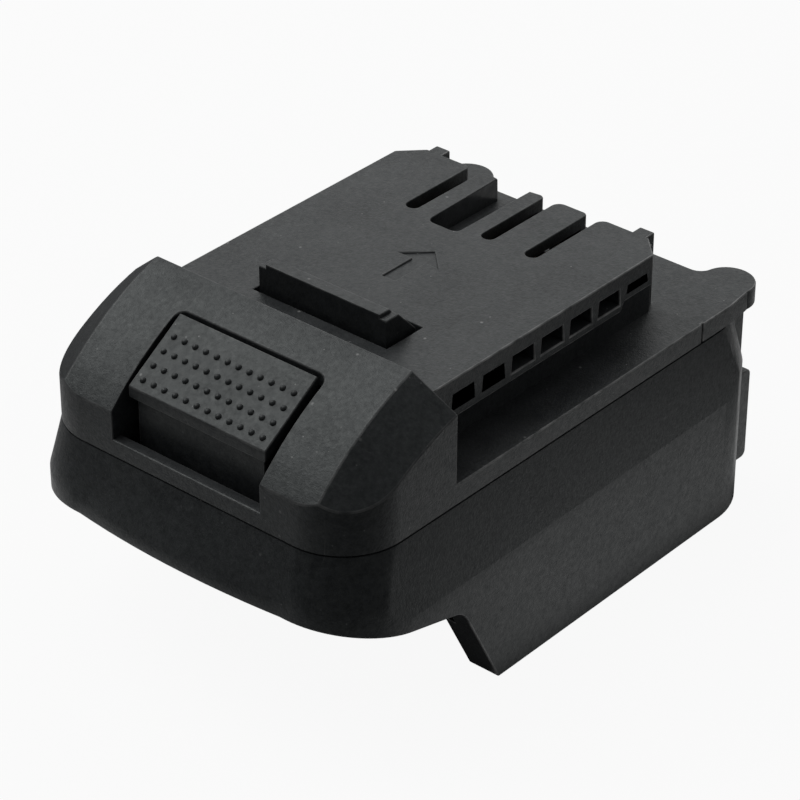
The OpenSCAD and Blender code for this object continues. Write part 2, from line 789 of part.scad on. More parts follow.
module lower_shell() {
    color("#242526") place() difference() {
        union() {
            difference() {
                lower_outside();
                lower_inside();
                bay_space();
            }
            locating_lip();
            lower_ribs();
        }
        front_clearance();
        at_posts() {
            translate([0, 0, -ceiling - over]) cylinder(h = ceiling + 2 * over, d = case_screw_d + 4 * fit);
            translate([0, 0, -skirt_h]) cylinder(h = skirt_h + case_seat, d = case_head_d + 8 * fit);
        }
        both_sides() {
            translate([block_screw.x, block_screw.y, -ceiling - over])
                cylinder(h = over + small_bite + fit, d = small_screw_d + 2 * fit);
            translate([board_hole.x, board_hole.y, board_z - board_bite - fit])
                cylinder(h = board_bite + fit + over, d = small_screw_d + 2 * fit);
        }
        for (x = carrier_post_x) translate([x, carrier_post_y, -small_bite - fit])
            cylinder(h = small_bite + fit + over, d = small_screw_d + 2 * fit);
        for (x = blade_x) translate([x - blade_t / 2 - fit, blade_tail_y - fit, -ceiling - over])
            cube([blade_t + 2 * fit, blade_tail_l + 2 * fit, floor_t + 2 * over]);
    }
}

// Domed grip dots on the thumb pad
module grip_dots() {
    dome_r = (dot_r * dot_r + dot_h * dot_h) / (2 * dot_h);
    translate([0, pad_mid.x, pad_mid.y]) rotate([pad_tilt, 0, 0])
        for (i = [0 : dot_columns - 1]) for (j = [0 : dot_rows - 1])
            translate([
                (i - (dot_columns - 1) / 2) * dot_pitch,
                (j - (dot_rows - 1) / 2) * row_pitch - dots_down,
                dot_h - dome_r
            ]) sphere(dome_r, $fn = 24);
}

module latch_button() {
    button_roof = pad_front_h - pad_lip;
    color("#323334") place() {
        difference() {
            union() {
                along_x(pad_w) polygon([
                    [pad_front, button_roof], [pad_front, pad_front_h], [pad_back, pad_back_h],
                    [pad_back, pad_back_h - pad_thick]
                ]);
                along_x(button_w) polygon([
                    [button_front, button_base], [button_front, button_roof + 1],
                    [button_back, pad_back_h - pad_thick + 1], [button_back, button_base]
                ]);
                translate([-button_w / 2, button_front, apron_base])
                    cube([button_w, apron_t, button_base - apron_base + over]);
                translate([-arm_w / 2, button_back - over, arm_base])
                    cube([arm_w, tongue_back - button_back + over, arm_t]);
                along_x(tongue_w) polygon([
                    [tongue_front, arm_base], [tongue_front, tongue_top],
                    [tongue_front + tongue_flat, tongue_top], [tongue_back, rail_h - ramp_drop],
                    [tongue_back, arm_base]
                ]);
                grip_dots();
                both_sides() translate([spring_x, spring_y, button_base - peg_l])
                    cylinder(h = peg_l + over, d = peg_d);
            }
            both_sides() translate([guide_post.x, guide_post.y, arm_base - over])
                cylinder(h = arm_t + 2 * over, d = guide_post_d + 2 * run_fit);
            both_sides() translate([tongue_w / 2 - shoulder_w, tongue_front - over, tongue_top - shoulder_drop])
                cube([shoulder_w + over, tongue_l, tongue_up]);
        }
    }
}

function unit(v) = v / norm(v);

// Ring of points round a path's point, square to its direction
function tube_ring(point, along, side, radius, count) =
    let (u = unit(cross(side, along)), v = unit(cross(along, u)))
    [for (k = [0 : count - 1]) point + radius * (cos(360 * k / count) * u + sin(360 * k / count) * v)];

// A closed tube through a list of rings with the same number of points
module tube(rings) {
    count = len(rings[0]);
    last = (len(rings) - 1) * count;
    points = [for (ring = rings) each ring];
    faces = concat(
        [[for (k = [0 : count - 1]) k]],
        [for (i = [0 : len(rings) - 2]) for (k = [0 : count - 1]) let (a = i * count, n = (k + 1) % count)
            each [[a + k, a + count + k, a + count + n], [a + k, a + count + n, a + n]]],
        [[for (k = [count - 1 : -1 : 0]) last + k]]
    );
    polyhedron(points, faces);
}

// A latch spring: an open coil between its seats, with its least gap printed
spring_foot = floor_top + spring_gap + spring_wire / 2;
spring_head = button_base - spring_gap - spring_wire / 2;
spring_r = (spring_d - spring_wire) / 2;
spring_pitch = (spring_head - spring_foot) / spring_turns;
spring_steps = 8;

function spring_point(i) =
    let (turn = 360 * i / spring_steps)
    [spring_r * cos(turn), spring_r * sin(turn), spring_foot + spring_pitch * i / spring_steps];

module latch_spring() {
    count = spring_turns * spring_steps;
    path = [for (i = [0 : count]) spring_point(i)];
    gaps = [for (i = [0 : count - spring_steps]) norm(path[i + spring_steps] - path[i]) - spring_wire];
    echo(least_spring_gap = min(gaps));
    tube([for (i = [0 : count])
        let (along = path[min(i + 1, count)] - path[max(i - 1, 0)])
        tube_ring(path[i], along, [0, 0, 1], spring_wire / 2, 6)]);
}

module latch_spring_left() color("silver") place() translate([-spring_x, spring_y, 0]) latch_spring();
module latch_spring_right() color("silver") place() translate([spring_x, spring_y, 0]) latch_spring();

// Forked spring clip for one tool contact: two leaves on a base, with a solder tail
module tool_clip(x) {
    translate([x, clip_y, clip_base]) {
        translate([-clip_half, 0, 0]) cube([2 * clip_half, clip_l, clip_t]);
        both_sides() {
            translate([clip_gap / 2, 0, 0]) cube([clip_t, clip_l, clip_h]);
            translate([clip_gap / 2, clip_l / 3, clip_t]) intersection() {
                cylinder(h = clip_h - clip_t, r = pinch_r);
                translate([-2 * pinch_r, -pinch_r, 0]) cube([2 * pinch_r + clip_t / 2, 2 * pinch_r, clip_h]);
            }
        }
        translate([-clip_t, clip_l - tail_l, -clip_base - tail_drop])
            cube([2 * clip_t, tail_l, clip_base + tail_drop + clip_t]);
    }
}

module tool_clip_positive() color("#c9a24a") place() tool_clip(slot_x[0]);
module tool_clip_signal() color("#c9a24a") place() tool_clip(slot_x[1]);
module tool_clip_negative() color("#c9a24a") place() tool_clip(slot_x[2]);

module clip_carrier() {
    color("#1f2021") place() difference() {
        translate([-carrier_w / 2, carrier_y, 0]) cube([carrier_w, carrier_l, carrier_h]);
        for (x = slot_x) {
            translate([x - clip_half - fit, clip_y - fit, clip_base])
                cube([2 * (clip_half + fit), clip_l + 2 * fit, carrier_h]);
            translate([x - clip_t - fit, tail_y - fit, -over])
                cube([2 * (clip_t + fit), tail_l + 2 * fit, carrier_h]);
        }
        for (x = carrier_post_x) translate([x, carrier_post_y, -over]) {
            cylinder(h = carrier_h + 2 * over, d = small_screw_d + 4 * fit);
            translate([0, 0, over + head_seat]) cylinder(h = carrier_h, d = small_head_d + 6 * fit);
        }
    }
}

// Flat blade for one battery contact, with a tail that stands up through the floor
module battery_blade(x) {
    front = block_y - blade_reach;
    low = blade_top - blade_h;
    translate([x, 0, 0]) along_x(blade_t) polygon([
        [front, low + blade_tip], [front + blade_tip, low], [blade_tail_y + blade_tail_l, low],
        [blade_tail_y + blade_tail_l, blade_tail_z], [blade_tail_y, blade_tail_z],
        [blade_tail_y, blade_top], [front + blade_tip, blade_top], [front, blade_top - blade_tip]
    ]);
}

module battery_blade_positive() color("#c9a24a") place() battery_blade(blade_x[0]);
module battery_blade_negative() color("#c9a24a") place() battery_blade(blade_x[1]);
module battery_blade_signal() color("#c9a24a") place() battery_blade(blade_x[2]);

module blade_block() {
    slot = blade_t + 2 * fit;
    color("#1f2021") place() difference() {
        translate([-block_w / 2, block_y, -ceiling - block_h]) cube([block_w, block_l, block_h]);
        for (x = blade_x) translate([x - slot / 2, block_y - over, blade_top - blade_h - fit])
            cube([slot, blade_tail_y - block_y + blade_tail_l + over + fit, block_h]);
        both_sides() translate([block_screw.x, block_screw.y, -ceiling - block_h - over]) {
            cylinder(h = block_h + 2 * over, d = small_screw_d + 4 * fit);
            cylinder(h = over + block_h - head_seat, d = small_head_d + 6 * fit);
        }
    }
}

module circuit_board() {
    color("#1f5c3a") place() difference() {
        translate([-board_w / 2, board_y, board_z]) cube([board_w, board_l, board_t]);
        both_sides() translate([board_hole.x, board_hole.y, board_z - over])
            cylinder(h = board_t + 2 * over, d = small_screw_d + 4 * fit);
    }
}

// Flat power package with a metal tab and three legs, lying on the board
module power_transistor() {
    package = [10, 9, 4.3];
    tab = [package.x, 1.6, 1.2];
    leg = [0.8, 3, 0.5];
    leg_pitch = 2.5;
    color("#202122") place() translate([transistor_at.x, board_y + transistor_at.y, board_top]) {
        translate([-package.x / 2, 0, 0]) cube(package);
        translate([-tab.x / 2, package.y, 0]) cube(tab);
        for (i = [-1 : 1]) translate([i * leg_pitch - leg.x / 2, -leg.y, 0]) cube(leg);
    }
}

// Small control chip with two rows of legs
module control_chip() {
    package = [4, 5, 1.5];
    leg = [1, 0.5, 0.4];
    leg_pitch = package.y / 4;
    lift = 0.1;
    color("#202122") place() translate([chip_at.x, board_y + chip_at.y, board_top]) {
        translate([-package.x / 2, 0, lift]) cube(package);
        both_sides() for (i = [0 : 3])
            translate([package.x / 2, i * leg_pitch + leg_pitch / 2 - leg.y / 2, 0]) cube(leg);
    }
}

module filter_capacitor() {
    foot_h = 0.8;
    color("#2c3350") place() translate([capacitor_at.x, board_y + capacitor_at.y, board_top]) {
        cylinder(h = foot_h, d = capacitor_d - foot_h);
        translate([0, 0, foot_h]) cylinder(h = capacitor_h - foot_h, d = capacitor_d);
    }
}

// A wire on a smooth curve between two points, leaving each in a given direction
module wire(start, start_pull, end, end_pull, diameter) {
    steps = 14;
    path = [for (i = [0 : steps]) let (t = i / steps, s = 1 - t)
        s * s * s * start + 3 * s * s * t * (start + start_pull)
        + 3 * s * t * t * (end + end_pull) + t * t * t * end];
    slope = [for (i = [0 : steps]) let (t = i / steps, s = 1 - t)
        s * s * start_pull + 2 * s * t * (end + end_pull - start - start_pull) - t * t * end_pull];
    tube([for (i = [0 : steps]) tube_ring(path[i], slope[i], [1, 0, 0], diameter / 2, 8)]);
}

function clip_tail(i) = [slot_x[i], tail_y + tail_l / 2, -tail_drop - fit];
function blade_tail(i) = [blade_x[i], blade_tail_y - fit, wire_z];
function board_edge(x) = [x, board_y + board_l + fit, board_z + board_t / 2];
wire_bend = 5;

module red_wire() {
    color("#b3201c") place()
        wire(blade_tail(0), [0, -wire_bend, 0], clip_tail(0), [0, 0, -wire_bend], wire_d);
}

module black_wire_in() {
    color("#151515") place()
        wire(blade_tail(1), [0, -wire_bend, 0], board_edge(blade_x[1]), [0, wire_bend, 0], wire_d);
}

module black_wire_out() {
    color("#151515") place()
        wire(board_edge(slot_x[2]), [0, 1.6 * wire_bend, 0], clip_tail(2), [0, 0, -wire_bend], wire_d);
}

module signal_wire() {
    color("#d8c25a") place()
        wire(blade_tail(2), [0, -wire_bend, 0], clip_tail(1), [0, 0, -wire_bend], signal_wire_d);
}

// A screw with its head's seat at the origin, its head below and a cross recess in it
module screw(thread, length, head, head_h) {
    difference() {
        union() {
            cylinder(h = length, d = thread);
            translate([0, 0, -head_h]) cylinder(h = head_h, d = head);
        }
        for (turn = [0, 90]) rotate(turn) translate([-head / 4, -head / 14, -head_h - over])
            cube([head / 2, head / 7, over + head_h / 2]);
    }
}

module case_screws() {
    color("#8f9296") place() at_posts() translate([0, 0, case_seat])
        screw(case_screw_d, case_thread - case_seat, case_head_d, case_head_h);
}

module carrier_screws() {
    color("#8f9296") place() for (x = carrier_post_x)
        translate([x, carrier_post_y, head_seat]) mirror([0, 0, 1])
            screw(small_screw_d, head_seat + small_bite, small_head_d, small_head_h);
}

module block_screws() {
    color("#8f9296") place() both_sides()
        translate([block_screw.x, block_screw.y, -ceiling - head_seat])
            screw(small_screw_d, head_seat + small_bite, small_head_d, small_head_h);
}

module board_screws() {
    color("#8f9296") place() both_sides()
        translate([board_hole.x, board_hole.y, board_top]) mirror([0, 0, 1])
            screw(small_screw_d, board_t + board_bite, small_head_d, small_head_h);
}

upper_shell();
lower_shell();
latch_button();
latch_spring_left();
latch_spring_right();
tool_clip_positive();
tool_clip_signal();
tool_clip_negative();
clip_carrier();
battery_blade_positive();
battery_blade_negative();
battery_blade_signal();
blade_block();
circuit_board();
power_transistor();
control_chip();
filter_capacitor();
red_wire();
black_wire_in();
black_wire_out();
signal_wire();
case_screws();
carrier_screws();
block_screws();
board_screws();
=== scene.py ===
# %% [markdown]
# # A slide-on battery adapter in black moulded plastic
# The adapter is a hollow case: an upper shell with a rail for the tool, a lower shell with a
# bay for the battery, and a sprung latch button at the front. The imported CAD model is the
# fixed frame. It could be shown as it is, but its edges are sharp as no moulding is, so this
# lesson gives the three outer mouldings broken edges and every piece its own finish.

# %% Load the frame
import math

import bmesh
import bpy
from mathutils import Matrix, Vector
from mathutils.bvhtree import BVHTree


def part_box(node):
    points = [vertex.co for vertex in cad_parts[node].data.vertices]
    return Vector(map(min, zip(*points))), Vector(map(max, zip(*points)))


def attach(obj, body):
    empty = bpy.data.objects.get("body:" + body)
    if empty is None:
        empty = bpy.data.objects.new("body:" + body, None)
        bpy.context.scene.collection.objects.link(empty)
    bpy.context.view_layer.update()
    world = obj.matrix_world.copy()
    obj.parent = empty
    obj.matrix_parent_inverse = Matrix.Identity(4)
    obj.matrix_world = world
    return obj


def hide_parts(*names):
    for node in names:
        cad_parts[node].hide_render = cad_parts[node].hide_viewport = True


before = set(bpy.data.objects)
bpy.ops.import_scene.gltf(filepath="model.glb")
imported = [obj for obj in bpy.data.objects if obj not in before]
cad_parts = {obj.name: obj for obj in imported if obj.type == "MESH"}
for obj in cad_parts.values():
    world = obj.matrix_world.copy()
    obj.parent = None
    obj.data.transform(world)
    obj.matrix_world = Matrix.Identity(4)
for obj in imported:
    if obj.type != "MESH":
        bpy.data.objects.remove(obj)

scene = bpy.context.scene
scene.view_settings.view_transform = "Standard"
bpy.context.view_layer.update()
MM = 0.001

# %% [markdown]
# ## The camera
# The photograph looks down on the front right corner from far away with a long lens. A camera
# could be placed by eye, but corners of the case fix it better: this place, aim and lens were
# solved from a dozen of them. The small shift puts the lens's axis where the solution has it.

# %% Camera
camera_lens = bpy.data.cameras.new("photo_camera")
camera_lens.lens = 148.9
camera_lens.sensor_width = 36
camera_lens.shift_x = 0.0135
camera_lens.shift_y = -0.0088
camera = bpy.data.objects.new("photo_camera", camera_lens)
scene.collection.objects.link(camera)
camera.location = Vector((341.8, -399.6, 363.1)) * MM
camera_aim = Vector((2.5, -6.8, 38.3)) * MM
camera.rotation_euler = (camera_aim - camera.location).to_track_quat("-Z", "Y").to_euler()
scene.camera = camera
print("camera stands off", round((camera_aim - camera.location).length, 3), "m")

# %% [markdown]
# ## Materials from nodes
# Every finish below is a few texture nodes in front of one Principled shader. These helpers
# only shorten the wiring: one adds a node and joins its inputs, one starts a material, and the
# rest are the few kinds of texture that the finishes share.

# %% Node helpers
def add_node(tree, kind, settings=(), inputs=()):
    """Adds a node, sets its own settings, and fills or joins its inputs by name or number."""
    node = tree.nodes.new(kind)
    for name, value in dict(settings).items():
        setattr(node, name, value)
    for name, value in dict(inputs).items():
        if isinstance(value, bpy.types.NodeSocket):
            tree.links.new(value, node.inputs[name])
        else:
            node.inputs[name].default_value = value
    return node


def start_material(name):
    """An empty material with its tree, its shader and the Object coordinates."""
    material = bpy.data.materials.new(name)
    material.use_nodes = True
    tree = material.node_tree
    shader = tree.nodes["Principled BSDF"]
    place = add_node(tree, "ShaderNodeTexCoord").outputs["Object"]
    return material, tree, shader, place


def noise(tree, place, scale, detail=2.0, roughness=0.5):
    """Soft noise; the scale is in lumps to the metre."""
    return add_node(tree, "ShaderNodeTexNoise", inputs={
        "Vector": place, "Scale": scale, "Detail": detail, "Roughness": roughness,
    }).outputs["Fac"]


def spread(tree, value, low, high, start=0.3, end=0.7):
    """Maps a texture's middle range on to two limits."""
    return add_node(tree, "ShaderNodeMapRange", inputs={
        "Value": value, "From Min": start, "From Max": end, "To Min": low, "To Max": high,
    }).outputs["Result"]


def combine(tree, operation, first, second):
    """One sum of two values, such as MULTIPLY or MAXIMUM."""
    return add_node(tree, "ShaderNodeMath", {"operation": operation}, {0: first, 1: second}).outputs["Value"]


def tint(tree, factor, first, second):
    """Mixes two colours by a factor."""
    mixer = add_node(tree, "ShaderNodeMix", {"data_type": "RGBA"})
    tree.links.new(factor, mixer.inputs["Factor"])
    for socket, colour in ((mixer.inputs[6], first), (mixer.inputs[7], second)):
        if isinstance(colour, bpy.types.NodeSocket):
            tree.links.new(colour, socket)
        else:
            socket.default_value = (*colour, 1)
    return mixer.outputs[2]


def relief(tree, shader, height, strength, depth):
    """Turns a texture into small bumps of a real depth."""
    bump = add_node(tree, "ShaderNodeBump", inputs={
        "Height": height, "Strength": strength, "Distance": depth,
    })
    tree.links.new(bump.outputs["Normal"], shader.inputs["Normal"])


def grey(level, cool=0.0):
    """A grey, with a little blue added where it should look cool."""
    return (level * (1 - cool), level, level * (1 + cool))


print("node helpers ready")

# %% [markdown]
# ## Black moulded plastic
# The case is black glass-filled nylon from a spark-eroded mould: a fine grain, uneven in sheen
# by the millimetre, with dust specks, a few hair-fine curved scuffs and edges rubbed pale, a pale
# that is partly wear and partly a painted highlight. A plain black would look like a hole in the
# picture. An image texture would give all that, but here each is a node or two: scuffs are the
# thin contour lines of a slow noise, cut short by another, and specks are the middles of a
# Voronoi texture's cells. The pale edges follow an attribute that the bevelled faces carry, and a
# paler film, partly dust and partly painted light, follows one that the level faces carry.

# %% Plastic
# Greys of the marks; the worn grey is partly a painted highlight, and the film is partly painted light
SCUFF, FILM_AND_PAINTED_TOP_LIGHT, DUST, WORN_AND_HIGHLIGHT_GREY = 0.035, 0.032, 0.15, 0.13
# Lumps to the metre
SCUFF_CURVES, CLOUDS, WORN_AND_HIGHLIT_PATCHES, MOTTLE, SPECKLE, GRAIN = 60, 75, 260, 650, 1150, 2100
# Cells to the metre, and the share of them that holds a speck
COARSE_DUST, FINE_DUST = (260, 0.22), (520, 0.24)
SCUFF_WIDTH = 0.004
SHEEN_TINT = (0.94, 1, 0.98, 1)


def scuffs(tree, place, scale, width):
    """Thin curved lines, each only a few millimetres long."""
    slow = noise(tree, place, scale, 1)
    from_middle = combine(tree, "ABSOLUTE", combine(tree, "SUBTRACT", slow, 0.5), 0)
    line = spread(tree, from_middle, 1, 0, 0, width)
    here = spread(tree, noise(tree, place, 2.2 * scale, 1), 0, 1, 0.64, 0.74)
    return combine(tree, "MULTIPLY", line, here)


def dust_specks(tree, place, scale, share):
    """Small round specks, in the given share of cells of a grid of random points."""
    cells = add_node(tree, "ShaderNodeTexVoronoi", inputs={"Vector": place, "Scale": scale})
    near = spread(tree, cells.outputs["Distance"], 1, 0, 0.03, 0.1)
    lot = add_node(tree, "ShaderNodeSeparateColor", inputs={0: cells.outputs["Color"]}).outputs["Red"]
    few = spread(tree, lot, 0, 1, 1 - share, 1.02 - share)
    return combine(tree, "MULTIPLY", near, few)


def moulded_plastic(name, dark, light, roughness, grain_depth):
    """Black plastic between two greys, with a grain of the given depth in millimetres."""
    material, tree, shader, place = start_material(name)
    mottle = noise(tree, place, MOTTLE, 4, 0.65)
    clouds = noise(tree, place, CLOUDS, 4, 0.6)
    body = tint(tree, spread(tree, mottle, 0, 1), grey(dark, 0.10), grey(light, 0.08))
    scuffed = tint(tree, scuffs(tree, place, SCUFF_CURVES, SCUFF_WIDTH), body, grey(SCUFF))
    dust = combine(
        tree, "MAXIMUM", dust_specks(tree, place, *COARSE_DUST), dust_specks(tree, place, *FINE_DUST))
    level = add_node(tree, "ShaderNodeAttribute", {"attribute_name": "level_face"}).outputs["Fac"]
    # A paler film on faces that look up: partly dust, partly painted light that lifts them
    film_and_painted_light = combine(tree, "MULTIPLY", level, spread(tree, clouds, 0.15, 0.75))
    filmed = tint(tree, film_and_painted_light, scuffed, grey(FILM_AND_PAINTED_TOP_LIGHT, 0.05))
    settled = combine(tree, "MULTIPLY", dust, spread(tree, level, 0.3, 1, 0, 1))
    marked = tint(tree, settled, filmed, grey(DUST))
    # Pale edges: partly rubbed wear, partly a painted highlight
    rubbed_and_highlit = add_node(tree, "ShaderNodeAttribute", {"attribute_name": "rubbed_and_highlit_edge"}).outputs["Fac"]
    patches = spread(tree, noise(tree, place, WORN_AND_HIGHLIT_PATCHES, 3), 0.2, 1, 0.35, 0.6)
    patchy = combine(tree, "MULTIPLY", rubbed_and_highlit, patches)
    tree.links.new(tint(tree, patchy, marked, grey(WORN_AND_HIGHLIGHT_GREY)), shader.inputs["Base Color"])
    fine = spread(tree, mottle, roughness - 0.07, roughness + 0.08)
    uneven = combine(tree, "ADD", fine, spread(tree, clouds, -0.035, 0.035))
    tree.links.new(uneven, shader.inputs["Roughness"])
    speckle = noise(tree, place, SPECKLE, 3, 0.6)
    sheen = combine(tree, "ADD", spread(tree, speckle, 0.22, 0.38), spread(tree, clouds, -0.04, 0.04))
    tree.links.new(sheen, shader.inputs["Specular IOR Level"])
    shader.inputs["Specular Tint"].default_value = SHEEN_TINT
    relief(tree, shader, noise(tree, place, GRAIN, 3, 0.7), 0.5, grain_depth * MM)
    return material


case_finish = moulded_plastic(
    "case_finish", dark=0.0095, light=0.0185, roughness=0.42, grain_depth=0.16)
skirt_finish = moulded_plastic(
    "skirt_finish", dark=0.0090, light=0.0175, roughness=0.43, grain_depth=0.16)
button_finish = moulded_plastic(
    "button_finish", dark=0.0075, light=0.0135, roughness=0.41, grain_depth=0.12)
holder_finish = moulded_plastic(
    "holder_finish", dark=0.0110, light=0.0180, roughness=0.48, grain_depth=0.10)
print("plastic finishes:", case_finish.name, skirt_finish.name, button_finish.name, holder_finish.name)

# %% [markdown]
# ## Metal
# Springs and screws are steel, the contacts are stamped brass. Bare metal shows what is round
# it, so its look is in the roughness: drawing and stamping leave fine uneven streaks, and brass
# goes dull in patches. The colour is metal's own, mixed with a little of its tarnish.

# %% Metal
def bare_metal(name, bright, dull, roughness, streaks):
    """Metal with patches of tarnish; streaks below 1 stretch its texture along that axis."""
    material, tree, shader, place = start_material(name)
    along = add_node(tree, "ShaderNodeMapping", inputs={"Vector": place, "Scale": streaks}).outputs["Vector"]
    drawn = noise(tree, along, 900, 3, 0.6)
    patches = noise(tree, place, 190, 3, 0.6)
    tarnish = spread(tree, patches, 0, 1, 0.4, 0.75)
    tree.links.new(tint(tree, tarnish, bright, dull), shader.inputs["Base Color"])
    tree.links.new(spread(tree, drawn, roughness - 0.07, roughness + 0.1), shader.inputs["Roughness"])
    shader.inputs["Metallic"].default_value = 1
    relief(tree, shader, drawn, 0.2, 0.03 * MM)
    return material


spring_wire = bare_metal(
    "spring_wire", (0.56, 0.56, 0.58), (0.36, 0.36, 0.37), roughness=0.27, streaks=(1, 1, 0.2))
zinc_plate = bare_metal(
    "zinc_plate", (0.55, 0.56, 0.58), (0.38, 0.39, 0.38), roughness=0.33, streaks=(1, 1, 1))
stamped_brass = bare_metal(
    "stamped_brass", (0.72, 0.52, 0.22), (0.50, 0.33, 0.14), roughness=0.30, streaks=(1, 0.15, 1))
print("metals:", spring_wire.name, zinc_plate.name, stamped_brass.name)

# %% [markdown]
# ## Circuit board
# A board is green solder mask over copper: the tracks show through it as a lighter green. They
# could be drawn one by one, but a Voronoi texture with square distances has straight, bent
# edges like tracks, and the difference of its two shortest distances gives them one width.

# %% Circuit board
TRACK_CELLS = 230


def point_distance(tree, place, feature):
    """The square distance to the nearest random point, F1, or to the next one, F2."""
    return add_node(
        tree, "ShaderNodeTexVoronoi", {"feature": feature, "distance": "CHEBYCHEV"},
        {"Vector": place, "Scale": TRACK_CELLS, "Randomness": 0.8}).outputs["Distance"]


board_mask, tree, shader, place = start_material("board_mask")
edge_gap = combine(
    tree, "SUBTRACT", point_distance(tree, place, "F2"), point_distance(tree, place, "F1"))
copper_below = spread(tree, edge_gap, 1, 0, 0.10, 0.14)
green = tint(tree, copper_below, (0.008, 0.075, 0.03), (0.02, 0.16, 0.06))
weave = noise(tree, place, 1500, 2)
woven = spread(tree, weave, 0, 0.35)
tree.links.new(tint(tree, woven, green, (0.02, 0.12, 0.07)), shader.inputs["Base Color"])
tree.links.new(spread(tree, weave, 0.24, 0.34), shader.inputs["Roughness"])
relief(tree, shader, copper_below, 0.4, 0.035 * MM)
print("board finish:", board_mask.name)

# %% [markdown]
# ## Packages and capacitor
# The transistor and the chip are black epoxy with tinned legs, and the capacitor is an aluminium
# can in a dark blue sleeve, bare on top. Each is one CAD node with one finish, so the finish
# itself tells the metal from the rest by where the point lies in the node's own box.

# %% Packages and capacitor
def inside_range(tree, value, low, high):
    """1 where a coordinate lies between two places, else 0."""
    above = combine(tree, "GREATER_THAN", value, low)
    below = combine(tree, "LESS_THAN", value, high)
    return combine(tree, "MULTIPLY", above, below)


def two_finish(name, place_test, coat, bare, coat_roughness, bare_roughness):
    """A material that is metal where the test is 1 and coated where it is 0."""
    material, tree, shader, place = start_material(name)
    axes = add_node(tree, "ShaderNodeSeparateXYZ", inputs={0: place}).outputs
    metal = place_test(tree, axes)
    grain = noise(tree, place, 1700, 3, 0.6)
    coated = tint(tree, spread(tree, grain, 0, 1), coat, tuple(1.5 * part for part in coat))
    plain = tint(tree, spread(tree, grain, 0, 1), bare, tuple(0.7 * part for part in bare))
    tree.links.new(tint(tree, metal, coated, plain), shader.inputs["Base Color"])
    tree.links.new(metal, shader.inputs["Metallic"])
    rough = spread(tree, metal, coat_roughness, bare_roughness, 0, 1)
    tree.links.new(combine(tree, "ADD", rough, spread(tree, grain, -0.05, 0.05)), shader.inputs["Roughness"])
    relief(tree, shader, grain, 0.25, 0.04 * MM)
    return material


def outside_box(low, high):
    """A test that is 1 outside the given range of x and of y."""
    def test(tree, axes):
        across = inside_range(tree, axes["X"], low[0], high[0])
        along = inside_range(tree, axes["Y"], low[1], high[1])
        return combine(tree, "SUBTRACT", 1.0, combine(tree, "MULTIPLY", across, along))
    return test


EPOXY = (0.012, 0.012, 0.013)
TIN = (0.60, 0.60, 0.58)
BLUE_SLEEVE = (0.012, 0.018, 0.05)
BARE_ALUMINIUM = (0.70, 0.70, 0.70)
LEG_REACH, TAB_REACH, CHIP_LEG, CAN_RIM = 2.9 * MM, 1.5 * MM, 0.95 * MM, 0.05 * MM
transistor_low, transistor_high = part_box("power_transistor")
chip_low, chip_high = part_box("control_chip")
can_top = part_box("filter_capacitor")[1].z
transistor_finish = two_finish(
    "transistor_finish",
    outside_box(
        (transistor_low.x - MM, transistor_low.y + LEG_REACH),
        (transistor_high.x + MM, transistor_high.y - TAB_REACH)),
    EPOXY, TIN, coat_roughness=0.5, bare_roughness=0.3)
chip_finish = two_finish(
    "chip_finish",
    outside_box((chip_low.x + CHIP_LEG, chip_low.y - MM), (chip_high.x - CHIP_LEG, chip_high.y + MM)),
    EPOXY, TIN, coat_roughness=0.5, bare_roughness=0.3)
can_finish = two_finish(
    "can_finish",
    lambda tree, axes: combine(tree, "GREATER_THAN", axes["Z"], can_top - CAN_RIM),
    BLUE_SLEEVE, BARE_ALUMINIUM, coat_roughness=0.32, bare_roughness=0.25)
print("component finishes:", transistor_finish.name, chip_finish.name, can_finish.name)

# %% [markdown]
# ## Wire sleeves
# The wires have soft PVC sleeves, which are glossy and a little wavy where they were cut and
# bent. A slow noise moves their colour and their surface, and a finer one their gloss, so that
# no sleeve is one flat colour.

# %% Wire sleeves
def wire_sleeve(name, colour):
    """A glossy sleeve that varies between its colour and a darker one."""
    material, tree, shader, place = start_material(name)
    slow = noise(tree, place, 240, 2)
    darker = tuple(0.7 * part for part in colour)
    tree.links.new(tint(tree, spread(tree, slow, 0, 1), darker, colour), shader.inputs["Base Color"])
    tree.links.new(spread(tree, noise(tree, place, 1300, 2), 0.3, 0.42), shader.inputs["Roughness"])
    relief(tree, shader, slow, 0.2, 0.08 * MM)
    return material


red_sleeve = wire_sleeve("red_sleeve", (0.50, 0.020, 0.015))
black_sleeve = wire_sleeve("black_sleeve", (0.018, 0.018, 0.018))
yellow_sleeve = wire_sleeve("yellow_sleeve", (0.62, 0.42, 0.06))
print("sleeves:", red_sleeve.name, black_sleeve.name, yellow_sleeve.name)

# %% [markdown]
# ## Finishes for the pieces inside
# The springs, contacts, board, wires and screws keep their CAD shape, because it is right as it
# is: little of them shows, through the slots and from below. Each only gets its finish.

# %% Inner pieces
inner_finishes = {
    spring_wire: ["latch_spring_left", "latch_spring_right"],
    stamped_brass: [
        "tool_clip_positive", "tool_clip_signal", "tool_clip_negative",
        "battery_blade_positive", "battery_blade_negative", "battery_blade_signal",
    ],
    holder_finish: ["clip_carrier", "blade_block"],
    board_mask: ["circuit_board"],
    transistor_finish: ["power_transistor"],
    chip_finish: ["control_chip"],
    can_finish: ["filter_capacitor"],
    red_sleeve: ["red_wire"],
    black_sleeve: ["black_wire_in", "black_wire_out"],
    yellow_sleeve: ["signal_wire"],
    zinc_plate: ["case_screws", "carrier_screws", "block_screws", "board_screws"],
}
for finish, names in inner_finishes.items():
    for name in names:
        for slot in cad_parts[name].material_slots:
            slot.material = finish
print("finished", sum(len(names) for names in inner_finishes.values()), "inner pieces")

# %% [markdown]
# ## Welded copies
# A CAD node comes in as loose triangles. To work on its edges, a copy is welded at its corners
# and its flat faces are joined up again. Remodelling the shells by hand would be the other way,
# and would lose the CAD's sizes.

# %% Welded copies
WELD = 0.002 * MM
FLAT_TURN = math.radians(0.3)


